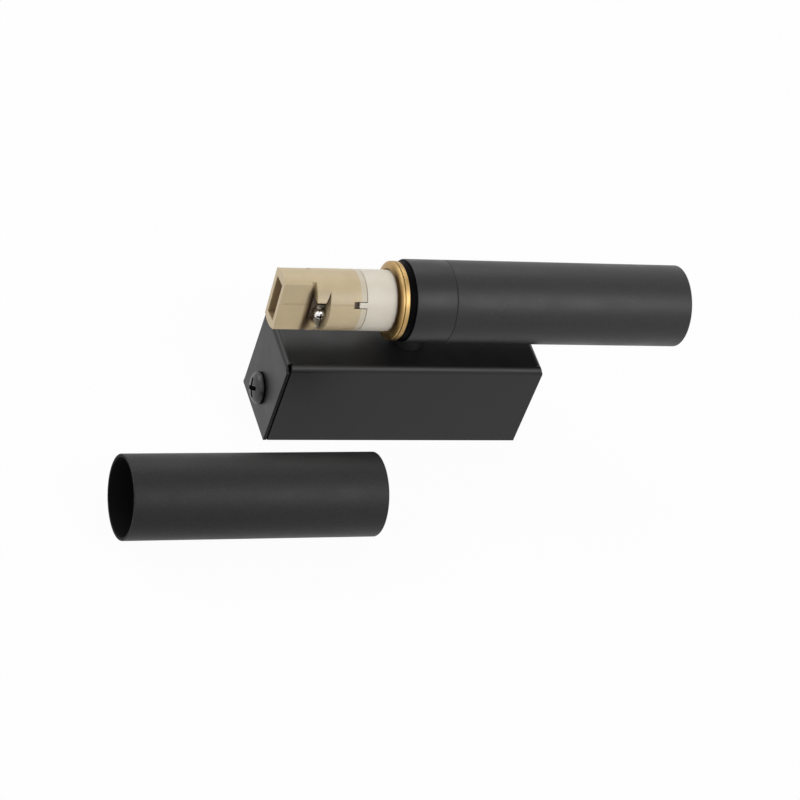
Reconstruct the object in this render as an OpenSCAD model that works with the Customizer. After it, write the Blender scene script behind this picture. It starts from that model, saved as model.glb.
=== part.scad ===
// Wall sconce with two open tube shades on one axis, lying on its back with one shade pulled off.
// X runs along the shades and +Z points out of the wall. Lengths are in millimetres.
// The origin is the middle of the canopy's back, on the plane of the wall.

/* [Shades and collar] */
// Outside diameter of the shades and of the collar
tube_d = 30; // [29:0.5:34]
// Wall thickness of a shade
shade_wall = 1.2; // [0.8:0.1:1.6]
// Wall left where a shade is bored out to sit on its brass ring
seat_wall = 0.7; // [0.5:0.05:0.75]
// Length of one shade
shade_l = 93.5; // [80:0.5:130]
// Length of the collar between the shades
collar_l = 15.5; // [15:0.5:24]
// Length of the dark turned step at each end of the collar
step_l = 2.6; // [1.5:0.1:4]
// Length of a brass ring
ring_l = 3.75; // [3.25:0.05:6]
// Radial gap between a brass ring and a shade
ring_clear = 0.1; // [0.05:0.05:0.3]

/* [Canopy] */
// Length of the canopy, along the shades
canopy_l = 100; // [98:1:140]
// Width of the canopy
canopy_w = 31.5; // [30:0.5:44]
// Depth of the canopy, out of the wall
canopy_h = 36.5; // [34:0.5:50]
// Thickness of the canopy's sheet
sheet = 1.2; // [1:0.1:1.6]
// Outside radius of the canopy's folds
fold_r = 1.8; // [1.7:0.1:2.6]
// Width of the open seam where two flanges meet
seam = 0.5; // [0.3:0.1:1]
// Side of the relief notch at a corner of the folds
relief = 2.2; // [1.8:0.1:3.5]

/* [Stem] */
// Diameter of the spacer between canopy and collar
stem_d = 12.5; // [11.5:0.5:15]
// Clear height between the canopy and the shades
stem_gap = 4; // [2:0.5:15]
// Thread diameter of all hollow nipples
thread_d = 10; // [9:0.5:10]
// Bore of the hollow nipples
nipple_bore = 7.2; // [6.6:0.1:7.4]

/* [Lampholder] */
// Diameter of the round part of a lampholder
holder_d = 22; // [21:0.25:22.5]
// Length of the white cap
cap_l = 18.8; // [15:0.1:26]
// Length of the beige body, from the cap to its mouth
body_l = 30.9; // [29:0.1:36]
// Length of the two flats at the mouth
flat_l = 12; // [10:0.1:13]
// Distance across the two flats
flat_t = 10.2; // [9.4:0.1:11]
// Long side of the mouth opening
mouth_w = 15.4; // [15:0.1:16.6]
// Short side of the mouth opening
mouth_t = 6; // [5.6:0.1:6.4]
// Turn of the lampholders about their own axis
holder_turn = 7; // [0:0.5:20]
// Angle of the key tab from the middle of a flat
tab_angle = 25.6; // [15:0.2:35]

/* [Screws] */
// Head diameter of a canopy screw
canopy_head_d = 12; // [9:0.5:13]
// Thread diameter of a canopy screw
canopy_screw_d = 5; // [4:0.5:6]
// Height of the canopy screws above the wall
canopy_screw_z = 11; // [10:0.5:14]

/* [Wall bracket] */
// Width of the bracket strap
strap_w = 18; // [17:0.5:22]
// Thickness of the bracket strap
strap_t = 2; // [1.5:0.1:2.5]
// Height of the bracket's ears
ear_h = 17; // [16:0.5:22]
// Distance between the two wall-screw slots
slot_pitch = 78; // [74:1:82]
// Width of a wall-screw slot
slot_w = 4.4; // [4:0.2:5.4]
// End-to-end length of a wall-screw slot
slot_l = 8; // [6:0.5:8.5]
// Diameter of the cable outlet
outlet_d = 10; // [8:0.5:12]

/* [Loose shade] */
// Place of its open end along X
loose_x = -116.5; // [-130:0.5:-100]
// Place of its axis in front of the fixture
loose_y = -57.75; // [-90:0.25:-40]
// Turn of its axis away from the fixture's
loose_turn = 0.6; // [0:0.1:6]

/* [Hidden] */
$fn = 64;
e = 0.01; // overshoot that keeps a cut clean
edge = 0.3; // small chamfer on turned edges
fit_gap = 0.05; // radial gap of a screwed joint
touch = 0.1; // gap between parts that only lie against each other
slip = 0.2; // radial gap of parts that are pushed together

tube_r = tube_d / 2;
axis_z = canopy_h + stem_gap + tube_r;
thread_r = thread_d / 2;
holder_r = holder_d / 2;

// collar, measured outwards from its middle
web_wall = 1.5;
web_half = thread_r + web_wall;
ring_r = tube_r - seat_wall - ring_clear;
step_r = ring_r - fit_gap;
step_end = collar_l / 2 + step_l;
neck_wall = 0.9;
neck_r = holder_r + slip + neck_wall;
ring_lip_l = 1.2; // the ring's front wall, past the neck
neck_end = step_end + ring_l - ring_lip_l;
seat_depth = step_l + ring_l + slip; // of the bored-out end of a shade

// lampholder, measured outwards from the collar's middle
cap_end = web_half + cap_l;
cap_floor = 6;
cap_wall = 1.45;
body_end = cap_end + body_l;
flat_start = body_end - flat_l;
band_l = 2.15;
line_w = 0.2; // fine line beside the band at the cap's end
plug_l = 2;
tab_w = 2;
tab_l = 2.9;
tab_slot_l = 5.3;
tab_depth = 1.4;
chamber_in = 2;
chamber_out = mouth_w / 2 - 0.8;
groove_l = 1.6;
groove_depth = 1.2;
holder_head_r = 1.9;
pocket_floor = flat_t / 2 + fit_gap;
pocket_l = 5;
pocket_top = 5.2;
pocket_low = 4.6;
notch_w = 1.8; // width of the pointed notch above the pocket, at its foot
notch_top = 8.4;
holder_screw_x = flat_start - pocket_l + holder_head_r + touch + fit_gap;
holder_screw_z = -1.4;
holder_shank_r = 1.2;
clip_t = 0.5;
clip_w = 3;
contact_z = (chamber_in + chamber_out) / 2;
contact_w = 4.2;
contact_t = 0.4;
contact_in = 6.2; // from the cap's end to the leaves
tail_in = 2.6; // from the cap's end to a contact's tail
contact_start = cap_end + contact_in;
contact_tail = cap_end + tail_in;

// stem
nut_t = 3.2;
nut_af = 14;
washer_t = 1;
washer_r = 8.5;
nipple_top = axis_z - thread_r - slip - touch;
nut_top = canopy_h - sheet - washer_t;
nipple_low = nut_top - nut_t - 2;
bush_wall = 0.6;
bush_flange = 1;
bush_depth = 3;

// wall bracket
ear_gap = 0.3; // between an ear and the canopy's end flange
ear_out = canopy_l / 2 - sheet - ear_gap;
strap_bend = strap_t + 1;
outlet_x = -24;
earth_x = -9;

// terminal block
pole_pitch = 9;
pole_n = 3;
term_x = 4;
term_l = pole_pitch * pole_n;
term_w = 16;
term_h = 12;
insert_h = 5; // from the strap up to the inserts' axis
insert_z = strap_t + insert_h;
insert_r = 2.3;
insert_bore = 1.4;
entry_r = 1.95;
well_r = 1.7;
well_y = 4;
block_step = 4; // from the block's top down to its sides
castle_gap = 2;
castle_in = 1.5; // from the block's side to its castles
insert_in = 2; // from the block's side to an insert's end
block_head_r = 2.7;
block_head_h = 1.7;
term_screw_x = term_x + pole_pitch;
block_base = 1; // height at which the castles start
term_thread_r = 1.25;
term_head_r = 1.6;
term_head_h = 2.2;
term_slot_w = 0.5;
term_slot_depth = 0.7;
screw_end = 0.3; // from a screw's tip to the strap's back
m3_r = 1.5;
m4_r = 2;
lug_t = 0.8;
lug_tail_r = 1.6; // half the width of the lug's tail
lug_tube_r = 1.4;
lug_tube_l = 4;
lug_socket_l = 2.5;
lug_tail = 8.5; // from the earth screw to the end of the lug's tail

// wires
wire_r = 0.85;
lane = 1.3; // each wire's distance from the stem's axis, in X and in Y
wire_sides = 8;

// Helpers

// turns a shape made along +Z so that it runs outwards along the shades' axis, to the right or the left
module along_axis(side = 1) {
    translate([0, 0, axis_z]) mirror([side < 0 ? 1 : 0, 0, 0]) rotate([0, 90, 0]) children();
}

// puts a shape drawn for the right-hand side, on the shades' axis, on either side
module on_side(side = 1) {
    translate([0, 0, axis_z]) mirror([side < 0 ? 1 : 0, 0, 0]) children();
}

// cylinder along X between two places
module rod_x(r, from, to) {
    translate([from, 0, 0]) rotate([0, 90, 0]) cylinder(r = r, h = to - from);
}

// tube along +Z with small chamfers on its four edges
module chamfered_tube(r_out, r_in, l, c = edge) {
    rotate_extrude() polygon([
        [r_in, c], [r_in + c, 0], [r_out - c, 0], [r_out, c],
        [r_out, l - c], [r_out - c, l], [r_in + c, l], [r_in, l - c]
    ]);
}

// hollow threaded nipple along +Z, drawn at its pitch diameter
module nipple(l) {
    chamfered_tube(thread_r - fit_gap, nipple_bore / 2, l, 0.4);
}

// domed screw head along +Z, with its flat side at z = 0
module pan_head(r, h, rim = 0.3) {
    dome_steps = 6;
    rotate_extrude() polygon(concat(
        [[0, 0], [r, 0]],
        [for (i = [0:dome_steps]) let (a = 90 * i / dome_steps)
            [r * cos(a), h * rim + h * (1 - rim) * sin(a)]]
    ));
}

// cross recess along Z, cut downwards from z = 0
module cross_recess(size, width, depth) {
    for (turn = [0, 90]) rotate([0, 0, turn])
        translate([-size / 2, -width / 2, -depth]) cube([size, width, depth + e]);
}

// U profile of a folded sheet: w wide, h high, open at the bottom, rounded at its two top corners
module fold_profile(w, h, t, r) {
    difference() {
        rounded_top(w, h, r);
        translate([0, -e]) rounded_top(w - 2 * t, h - t + e, r - t);
    }
}

module rounded_top(w, h, r) {
    translate([-w / 2, 0]) square([w, h - r]);
    translate([-w / 2 + r, 0]) square([w - 2 * r, h]);
    for (s = [-1, 1]) translate([s * (w / 2 - r), h - r]) circle(r = r, $fn = 32);
}

// Canopy: one folded sheet, with open seams between the flanges and a relief notch at each corner

module canopy() {
    side_l = canopy_l - 2 * sheet - 2 * seam;
    color("#1d1d1f") difference() {
        union() {
            rotate([90, 0, 90]) translate([0, 0, -side_l / 2])
                linear_extrude(side_l) fold_profile(canopy_w, canopy_h, sheet, fold_r);
            for (s = [-1, 1]) intersection() {
                rotate([90, 0, 0]) translate([0, 0, -canopy_w / 2])
                    linear_extrude(canopy_w) fold_profile(canopy_l, canopy_h, sheet, fold_r);
                translate([s * canopy_l / 2 - relief, -canopy_w / 2, 0])
                    cube([2 * relief, canopy_w, canopy_h]);
            }
        }
        for (sx = [-1, 1], sy = [-1, 1])
            translate([sx * canopy_l / 2, sy * canopy_w / 2, canopy_h]) cube(2 * relief, center = true);
        translate([0, 0, canopy_h - 2 * sheet]) cylinder(r = thread_r + slip - fit_gap, h = 3 * sheet);
        for (s = [-1, 1]) translate([s * canopy_l / 2, 0, canopy_screw_z]) rotate([0, 90, 0])
            cylinder(r = canopy_screw_d / 2 + slip + touch, h = 4 * sheet, center = true);
    }
}

// Canopy screw: from outside the end flange into the bracket's tapped ear

module canopy_screw(side) {
    head_h = 3.3;
    past_ear = 5; // how far the screw passes the ear
    shank_l = sheet + ear_gap + strap_t + past_ear;
    color("#222224") translate([side * canopy_l / 2, 0, canopy_screw_z]) rotate([0, side * 90, 0])
    difference() {
        union() {
            pan_head(canopy_head_d / 2, head_h);
            translate([0, 0, -shank_l]) cylinder(r = canopy_screw_d / 2 - fit_gap, h = shank_l + e);
        }
        translate([0, 0, head_h]) cross_recess(canopy_head_d * 0.48, canopy_head_d * 0.1, head_h * 0.58);
    }
}

// Wall bracket: a strap with two tapped ears, wall-screw slots and the cable outlet

module wall_bracket() {
    color("#b9bcc0") difference() {
        rotate([90, 0, 0]) translate([0, 0, -strap_w / 2]) linear_extrude(strap_w)
            translate([0, ear_h]) mirror([0, 1]) fold_profile(2 * ear_out, ear_h, strap_t, strap_bend);
        for (s = [-1, 1]) translate([s * ear_out, 0, canopy_screw_z]) rotate([0, 90, 0])
            cylinder(r = canopy_screw_d / 2, h = 4 * strap_t, center = true);
        for (s = [-1, 1]) translate([s * slot_pitch / 2, 0, -e]) wall_slot();
        translate([outlet_x, 0, -e]) cylinder(r = outlet_d / 2, h = strap_t + 2 * e);
        translate([earth_x, 0, -e]) cylinder(r = m4_r, h = strap_t + 2 * e);
        translate([term_screw_x, 0, -e]) cylinder(r = m3_r, h = strap_t + 2 * e);
    }
}

module wall_slot() {
    straight = slot_l - slot_w;
    linear_extrude(strap_t + 2 * e) {
        square([straight, slot_w], center = true);
        for (s = [-1, 1]) translate([s * straight / 2, 0]) circle(r = slot_w / 2, $fn = 32);
    }
}

// Stem: a spacer over a hollow nipple that runs from inside the canopy into the collar

module stem_spacer() {
    color("#1d1d1f") difference() {
        translate([0, 0, canopy_h]) cylinder(r = stem_d / 2, h = axis_z - canopy_h);
        translate([0, 0, axis_z]) rod_x(tube_r + fit_gap, -stem_d, stem_d);
        translate([0, 0, canopy_h - e]) cylinder(r = thread_r + fit_gap, h = axis_z);
    }
}

module stem_nipple() {
    color("#c9cbd0") translate([0, 0, nipple_low]) nipple(nipple_top - nipple_low);
}

module stem_nut() {
    color("#c9cbd0") translate([0, 0, nut_top - nut_t]) difference() {
        cylinder(d = nut_af / cos(30), h = nut_t, $fn = 6);
        translate([0, 0, -e]) cylinder(r = thread_r, h = nut_t + 2 * e);
    }
}

module stem_washer() {
    color("#c9cbd0") translate([0, 0, nut_top]) difference() {
        cylinder(r = washer_r, h = washer_t);
        translate([0, 0, -e]) cylinder(r = thread_r + slip, h = washer_t + 2 * e);
    }
}

// Plastic bush that keeps the wires off the nipple's lower edge
module wire_bush() {
    bush_r = nipple_bore / 2 - fit_gap;
    color("#e8e6df") translate([0, 0, nipple_low - bush_flange]) difference() {
        union() {
            cylinder(r = thread_r - fit_gap, h = bush_flange);
            cylinder(r = bush_r, h = bush_flange + bush_depth);
        }
        translate([0, 0, -e]) cylinder(r = bush_r - bush_wall, h = bush_flange + bush_depth + 2 * e);
    }
}

// Collar: turned from solid, with a cross of tapped holes in its web and a step and a neck at each end

module collar() {
    color("#29292b") difference() {
        union() {
            along_axis() translate([0, 0, -collar_l / 2]) chamfered_tube(tube_r, 1, collar_l);
            on_side() rod_x(step_r, -step_end, step_end);
            on_side() rod_x(neck_r, -neck_end, neck_end);
        }
        for (s = [-1, 1]) on_side(s) rod_x(holder_r + slip, web_half, neck_end + 1);
        on_side() rod_x(thread_r, -collar_l, collar_l);
        translate([0, 0, axis_z - tube_r - e]) cylinder(r = thread_r, h = tube_r);
    }
}

// Brass ring: screwed on the collar's neck, with a fine groove and a wide cone at its front

module ring(side) {
    lip_r = holder_r + slip + fit_gap;
    seat_r = neck_r + fit_gap;
    seat_l = neck_end - step_end + touch + fit_gap;
    cone_l = ring_l / 3;
    groove = 0.25;
    groove_at = 0.43 * ring_l;
    color("#c8a15c") along_axis(side) translate([0, 0, step_end]) rotate_extrude() polygon([
        [seat_r, 0], [ring_r, 0],
        [ring_r, groove_at], [ring_r - groove, groove_at + groove / 2], [ring_r, groove_at + groove],
        [ring_r, ring_l - cone_l], [lip_r + edge, ring_l], [lip_r, ring_l - edge],
        [lip_r, seat_l], [seat_r, seat_l]
    ]);
}

// Lampholder: a hollow nipple, a white cap, a beige body, two sprung contacts, and a clip with its screw

module holder_nipple(side) {
    nipple_from = 2.4;
    color("#c9cbd0") along_axis(side) translate([0, 0, nipple_from])
        nipple(web_half + cap_floor - nipple_from);
}

// places a shape at the key tab's angle and again half a turn away
module at_tabs() {
    for (turn = [0, 180]) rotate([180 - tab_angle + turn, 0, 0]) children();
}

// puts a piece of a lampholder, drawn for the right-hand side, on either side at the lampholders' turn
module on_holder(side) {
    on_side(side) rotate([-holder_turn, 0, 0]) children();
}

module holder_cap(side) {
    color("#ded6c8") on_holder(side) {
        difference() {
            rod_x(holder_r, web_half, cap_end);
            rod_x(thread_r, web_half - e, cap_end);
            rod_x(holder_r - cap_wall, web_half + cap_floor, cap_end + e);
        }
        intersection() {
            difference() {
                rod_x(holder_r, cap_end - e, cap_end + tab_l);
                rod_x(holder_r - tab_depth + touch, cap_end - 2 * e, cap_end + tab_l + e);
            }
            at_tabs() translate([cap_end - e, 0, -tab_w / 2]) cube([tab_l + e, holder_d, tab_w]);
        }
    }
}

module holder_body(side) {
    color("#c6b087") on_holder(side) difference() {
        union() {
            rod_x(holder_r, cap_end, body_end);
            rod_x(holder_r - cap_wall - fit_gap, cap_end - plug_l, cap_end + e);
        }
        // the two flats, with a groove across the foot of each
        for (s = [-1, 1]) mirror([0, s < 0 ? 1 : 0, 0]) {
            translate([flat_start, flat_t / 2, -holder_d]) cube([flat_l + e, holder_d, 2 * holder_d]);
            translate([flat_start, flat_t / 2 - groove_depth, -holder_d])
                cube([groove_l, holder_d, 2 * holder_d]);
        }
        // slot mouth, and the two contact chambers behind it
        translate([flat_start, -mouth_t / 2, -mouth_w / 2]) cube([flat_l + e, mouth_t, mouth_w]);
        for (s = [-1, 1]) mirror([0, 0, s < 0 ? 1 : 0])
            translate([cap_end - plug_l - e, -mouth_t / 2, chamber_in])
                cube([body_l, mouth_t, chamber_out - chamber_in]);
        // notches for the cap's key tabs, and the fine line beside the end band
        at_tabs() translate([cap_end - e, holder_r - tab_depth, -tab_w / 2 - touch])
            cube([tab_slot_l, holder_r, tab_w + 2 * touch]);
        difference() {
            rod_x(holder_r + line_w, cap_end + band_l, cap_end + band_l + line_w);
            rod_x(holder_r - 0.6 * line_w, cap_end, cap_end + 2 * band_l);
        }
        screw_pocket();
    }
}

// pocket open to the groove, with a channel down to the body's edge, a pointed notch above and a screw hole
module screw_pocket() {
    pocket_start = flat_start - pocket_l;
    from_y = -holder_d;
    depth = holder_d - pocket_floor;
    translate([pocket_start, from_y, -pocket_low]) cube([pocket_l + 2 * e, depth, pocket_low + pocket_top]);
    translate([pocket_start, from_y, -holder_d]) cube([clip_w + 2 * touch, depth, holder_d]);
    translate([pocket_start, -pocket_floor, 0]) rotate([90, 0, 0]) linear_extrude(depth)
        polygon([[0, 0], [notch_w, 0], [notch_w, pocket_top], [0, notch_top]]);
    translate([holder_screw_x, -holder_r, holder_screw_z]) rotate([-90, 0, 0])
        cylinder(r = holder_shank_r, h = holder_r);
}

// small cross-recess screw that clamps the clip in the body's pocket
module holder_screw(side) {
    head_h = 3.1;
    seat_y = pocket_floor + clip_t;
    shank_l = seat_y - mouth_t / 2 - slip - touch;
    color("#cfd0d2") on_holder(side) translate([holder_screw_x, -seat_y, holder_screw_z]) rotate([90, 0, 0])
        difference() {
            union() {
                pan_head(holder_head_r, head_h, 0.65);
                translate([0, 0, -shank_l]) cylinder(r = holder_shank_r - fit_gap, h = shank_l + e);
            }
            translate([0, 0, head_h]) cross_recess(holder_head_r * 1.5, holder_head_r * 0.28, head_h * 0.3);
        }
}

// bent strip under that screw, running down the pocket
module holder_clip(side) {
    clip_low = -sqrt(holder_r * holder_r - pow(pocket_floor + clip_t, 2)) + 0.6;
    color("#8d8a84") on_holder(side) difference() {
        translate([flat_start - pocket_l + touch, -pocket_floor - clip_t, clip_low])
            cube([clip_w, clip_t, 1.4 - clip_low]);
        translate([holder_screw_x, -holder_r, holder_screw_z]) rotate([-90, 0, 0])
            cylinder(r = holder_shank_r + touch, h = holder_r);
    }
}

// sprung contacts: a tail for the wire, then two leaves that pinch the lamp's pin
module contacts(side) {
    leaf_end = flat_start + 0.6;
    pinch = leaf_end - 3.2;
    open_y = 2.3;
    pinch_y = 1;
    color("#d8c07a") on_holder(side) for (s = [-1, 1])
        translate([0, 0, s * contact_z - contact_w / 2]) linear_extrude(contact_w) {
            for (m = [0, 1]) mirror([0, m]) polygon([
                [contact_start, 0], [contact_start, open_y], [pinch - 3, open_y],
                [pinch, pinch_y], [leaf_end, open_y - 0.4], [leaf_end, open_y - 0.4 - contact_t],
                [pinch, pinch_y - contact_t], [pinch - 3, open_y - contact_t],
                [contact_start + contact_t, open_y - contact_t], [contact_start + contact_t, 0]
            ]);
            translate([contact_tail, -contact_t / 2]) square([contact_start - contact_tail + e, contact_t]);
        }
}

// Shades: two like tubes, open at both ends, each bored out at the end that sits on its ring

module shade() {
    difference() {
        chamfered_tube(tube_r, tube_r - shade_wall, shade_l);
        translate([0, 0, -e]) cylinder(r = tube_r - seat_wall, h = seat_depth + e);
    }
}

module shade_right() {
    color("#29292b") along_axis() translate([0, 0, collar_l / 2]) shade();
}

module shade_left() {
    color("#29292b") translate([loose_x, loose_y, tube_r]) rotate([0, 0, loose_turn])
        rotate([0, 90, 0]) translate([0, 0, shade_l]) mirror([0, 0, 1]) shade();
}

// Terminal block: three poles in one moulding, screwed to the bracket

module at_poles() {
    for (i = [0:pole_n - 1]) translate([term_x + pole_pitch * (i + 0.5), 0, 0]) children();
}

module terminal_block() {
    color("#efeee8") difference() {
        union() {
            translate([term_x, -term_w / 2, strap_t]) cube([term_l, term_w, term_h - block_step]);
            at_poles() translate([(castle_gap - pole_pitch) / 2, -term_w / 2, strap_t + block_base])
                translate([0, castle_in, 0])
                    cube([pole_pitch - castle_gap, term_w - 2 * castle_in, term_h - block_base]);
        }
        at_poles() {
            translate([0, -term_w / 2 - e, insert_z]) rotate([-90, 0, 0])
                cylinder(r = entry_r, h = term_w + 2 * e);
            translate([0, -term_w / 2 + insert_in, insert_z]) rotate([-90, 0, 0])
                cylinder(r = insert_r + fit_gap, h = term_w - 2 * insert_in);
            for (s = [-1, 1]) translate([0, s * well_y, insert_z]) cylinder(r = well_r, h = term_h);
        }
        translate([term_screw_x, 0, 0]) cylinder(r = m3_r + slip, h = 2 * term_h);
        translate([term_screw_x, 0, strap_t + term_h - block_step])
            cylinder(r = block_head_r + slip, h = term_h);
    }
}

module terminal_inserts() {
    color("#c8a15c") at_poles() difference() {
        translate([0, -term_w / 2 + insert_in + touch, insert_z]) rotate([-90, 0, 0])
            cylinder(r = insert_r, h = term_w - 2 * (insert_in + touch));
        translate([0, -term_w / 2, insert_z]) rotate([-90, 0, 0]) cylinder(r = insert_bore, h = term_w);
        for (s = [-1, 1]) translate([0, s * well_y, insert_z]) cylinder(r = term_thread_r, h = 2 * insert_r);
    }
}

module terminal_screws() {
    head_z = insert_r + term_slot_depth;
    color("#c9cbd0") at_poles() for (s = [-1, 1]) translate([0, s * well_y, insert_z]) difference() {
        union() {
            translate([0, 0, term_slot_depth]) cylinder(r = term_thread_r - fit_gap, h = insert_r + e);
            translate([0, 0, head_z]) cylinder(r = term_head_r, h = term_head_h);
        }
        translate([-term_head_r - e, -term_slot_w / 2, head_z + term_head_h - term_slot_depth])
            cube([2 * (term_head_r + e), term_slot_w, term_slot_depth + e]);
    }
}

module block_screw() {
    seat = strap_t + term_h - block_step;
    color("#c9cbd0") translate([term_screw_x, 0, 0]) difference() {
        union() {
            translate([0, 0, screw_end]) cylinder(r = m3_r - fit_gap, h = seat);
            translate([0, 0, seat]) pan_head(block_head_r, block_head_h, 0.6);
        }
        translate([0, 0, seat + block_head_h])
            cross_recess(block_head_r * 1.2, block_head_r * 0.22, block_head_h / 2);
    }
}

// Earth screw in the strap, with the ring lug of the earth wire under its head

module earth_screw() {
    head_h = 2.2;
    color("#c8a15c") translate([earth_x, 0, 0]) difference() {
        union() {
            translate([0, 0, screw_end]) cylinder(r = m4_r - fit_gap, h = strap_t + lug_t);
            translate([0, 0, strap_t + lug_t]) pan_head(m4_r * 1.9, head_h);
        }
        translate([0, 0, strap_t + lug_t + head_h]) cross_recess(m4_r * 1.8, m4_r * 0.4, head_h * 0.55);
    }
}

module earth_lug() {
    color("#d5d6d8") translate([earth_x, 0, strap_t]) difference() {
        union() {
            cylinder(r = m4_r * 2, h = lug_t);
            translate([-lug_tail_r, 0, 0]) cube([2 * lug_tail_r, lug_tail, lug_t]);
            translate([0, lug_tail - lug_tube_l, lug_tube_r]) rotate([-90, 0, 0])
                cylinder(r = lug_tube_r, h = lug_tube_l);
        }
        translate([0, 0, -e]) cylinder(r = m4_r + touch, h = 2 * lug_t);
        translate([0, lug_tail - lug_socket_l, lug_tube_r]) rotate([-90, 0, 0])
            cylinder(r = wire_r + touch, h = lug_tube_l);
    }
}

// Wires: tubes swept along smooth routes from the block, up the stem and out to the contacts

function unit(v) = v / norm(v);

// point on a smooth curve through four points, between the second and the third
function smooth(a, b, c, d, t) =
    0.5 * (2 * b + (c - a) * t + (2 * a - 5 * b + 4 * c - d) * t * t + (3 * b - a - 3 * c + d) * t * t * t);

function route(p, steps) = let (last = len(p) - 1) concat(
    [for (i = [0:last - 1], k = [0:steps - 1])
        smooth(p[max(i - 1, 0)], p[i], p[i + 1], p[min(i + 2, last)], k / steps)],
    [p[last]]);

function heading(p, i) = unit(p[min(i + 1, len(p) - 1)] - p[max(i - 1, 0)]);

// normals carried along the route without twist
function normals(p, first) = [
    for (i = 0, n = first; i < len(p);
        i = i + 1, n = i < len(p) ? unit(n - (n * heading(p, i)) * heading(p, i)) : n) n];

module wire(points, shade_of, first = [1, 0, 0], steps = 3) {
    p = route(points, steps);
    start = unit(first - (first * heading(p, 0)) * heading(p, 0));
    n = normals(p, start);
    rings = len(p);
    verts = [for (i = [0:rings - 1], k = [0:wire_sides - 1])
        let (a = 360 * k / wire_sides)
        p[i] + wire_r * (cos(a) * n[i] + sin(a) * cross(heading(p, i), n[i]))];
    sides = [for (i = [0:rings - 2], k = [0:wire_sides - 1])
        let (k2 = (k + 1) % wire_sides, a = i * wire_sides, b = a + wire_sides)
        each [[a + k, b + k, b + k2], [a + k, b + k2, a + k2]]];
    caps = [
        [for (k = [0:wire_sides - 1]) k],
        [for (k = [wire_sides - 1:-1:0]) (rings - 1) * wire_sides + k]];
    color(shade_of) polyhedron(verts, concat(sides, caps));
}

wire_in_y = term_w / 2 - insert_in + 0.4; // how far the wires reach into the block
pair = 0.95; // half the distance between two wires in one pole
bend = 4; // radius of the wires' turn in the collar
lug_y = lug_tail - lug_socket_l + touch; // where the earth wire meets its lug
low = nipple_low - bush_flange;
brown_x = term_x + 2.5 * pole_pitch;
blue_x = term_x + 1.5 * pole_pitch;

// the wires bend up in two layers between the block's side and the canopy's long flange
block_y = term_w / 2;
side_room = canopy_w / 2 - sheet - block_y;
near_y = block_y + 0.37 * side_room;
far_y = block_y + 0.72 * side_room;
rise = low - insert_z; // from the block's poles up to the bush
ninth = pole_pitch / 9;

// from the block to just under the stem
brown_left_in = [
    [brown_x, wire_in_y, insert_z - pair], [brown_x, block_y + 1.4, insert_z - pair],
    [brown_x, far_y, insert_z + 0.08 * rise], [brown_x - ninth, far_y - 0.1, insert_z + 0.33 * rise],
    [brown_x - 6 * ninth, block_y + 0.5, insert_z + 0.59 * rise],
    [0.51 * brown_x, 3.5, insert_z + 0.71 * rise], [6.5, -2, insert_z + 0.76 * rise],
    [1, -4, insert_z + 0.81 * rise], [-lane, -3, low - 2]
];
brown_right_in = [
    [brown_x, wire_in_y, insert_z + pair], [brown_x, block_y + 0.8, insert_z + pair],
    [brown_x - 0.3 * ninth, near_y, insert_z + 0.19 * rise],
    [brown_x - 2 * ninth, near_y - 1.4, insert_z + 0.39 * rise],
    [brown_x - 8 * ninth, block_y / 2, insert_z + 0.545 * rise],
    [0.4 * brown_x, 0.5, insert_z + 0.605 * rise],
    [4.5, -0.8, insert_z + 0.69 * rise], [1.9, -1.2, low - 3]
];
blue_left_in = [
    [blue_x, wire_in_y, insert_z - pair], [blue_x, block_y + 1.4, insert_z - pair],
    [blue_x - 0.3 * ninth, far_y, insert_z + 0.08 * rise],
    [blue_x - 3 * ninth, far_y - 0.1, insert_z + 0.31 * rise],
    [0.46 * blue_x, far_y - 2.7, insert_z + 0.55 * rise], [1.5, 6.5, insert_z + 0.71 * rise],
    [-1.6, 3, low - 3]
];
blue_right_in = [
    [blue_x, wire_in_y, insert_z + pair], [blue_x, block_y + 0.8, insert_z + pair],
    [blue_x - 0.4 * ninth, near_y, insert_z + 0.19 * rise],
    [blue_x - 2 * ninth, near_y - 0.6, insert_z + 0.37 * rise],
    [0.6 * blue_x, block_y - 1, insert_z + 0.55 * rise], [4.5, 3.4, insert_z + 0.71 * rise],
    [1.6, 1.5, low - 3]
];

// up the stem and out to a contact: side is -1 for the left lampholder, row is -1 for brown and 1 for blue
function lamp_wire(start, side, row) =
    let (x = lane * side, y = lane * row, z = axis_z,
        end_y = row * contact_z * sin(holder_turn), end_z = row * contact_z * cos(holder_turn)
    ) concat(start, [
        [x, y, low + 1], [x, y, (low + z) / 2], [x, y, z - bend - 1],
        [x + side * bend * 0.3, y, z - bend * 0.3], [x + side * (bend + 1), y, z],
        [side * (web_half + cap_floor), y, z], [side * (cap_end - cap_floor / 2), 0.6 * y, z + 0.7 * end_z],
        [side * (contact_tail - 0.3), end_y, z + end_z]
    ]);

module wire_brown_left() { wire(lamp_wire(brown_left_in, -1, -1), "#6b3f22"); }
module wire_blue_left() { wire(lamp_wire(blue_left_in, -1, 1), "#2f5f9e"); }
module wire_brown_right() { wire(lamp_wire(brown_right_in, 1, -1), "#6b3f22"); }
module wire_blue_right() { wire(lamp_wire(blue_right_in, 1, 1), "#2f5f9e"); }

module wire_earth() {
    px = term_x + pole_pitch / 2;
    lug_z = strap_t + lug_tube_r;
    wire([
        [px, wire_in_y, insert_z], [px, wire_in_y + 2.4, insert_z],
        [px - 2 * ninth, far_y - 0.5, insert_z + 0.6], [px - 7 * ninth, far_y + 0.2, insert_z + 0.2],
        [earth_x + 3 * ninth, far_y - 0.1, insert_z - 1.6], [earth_x, far_y - 1.9, lug_z + 0.3],
        [earth_x, lug_y + 1.6, lug_z], [earth_x, lug_y, lug_z]
    ], "#7f9b3a");
}

// Parts

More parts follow.
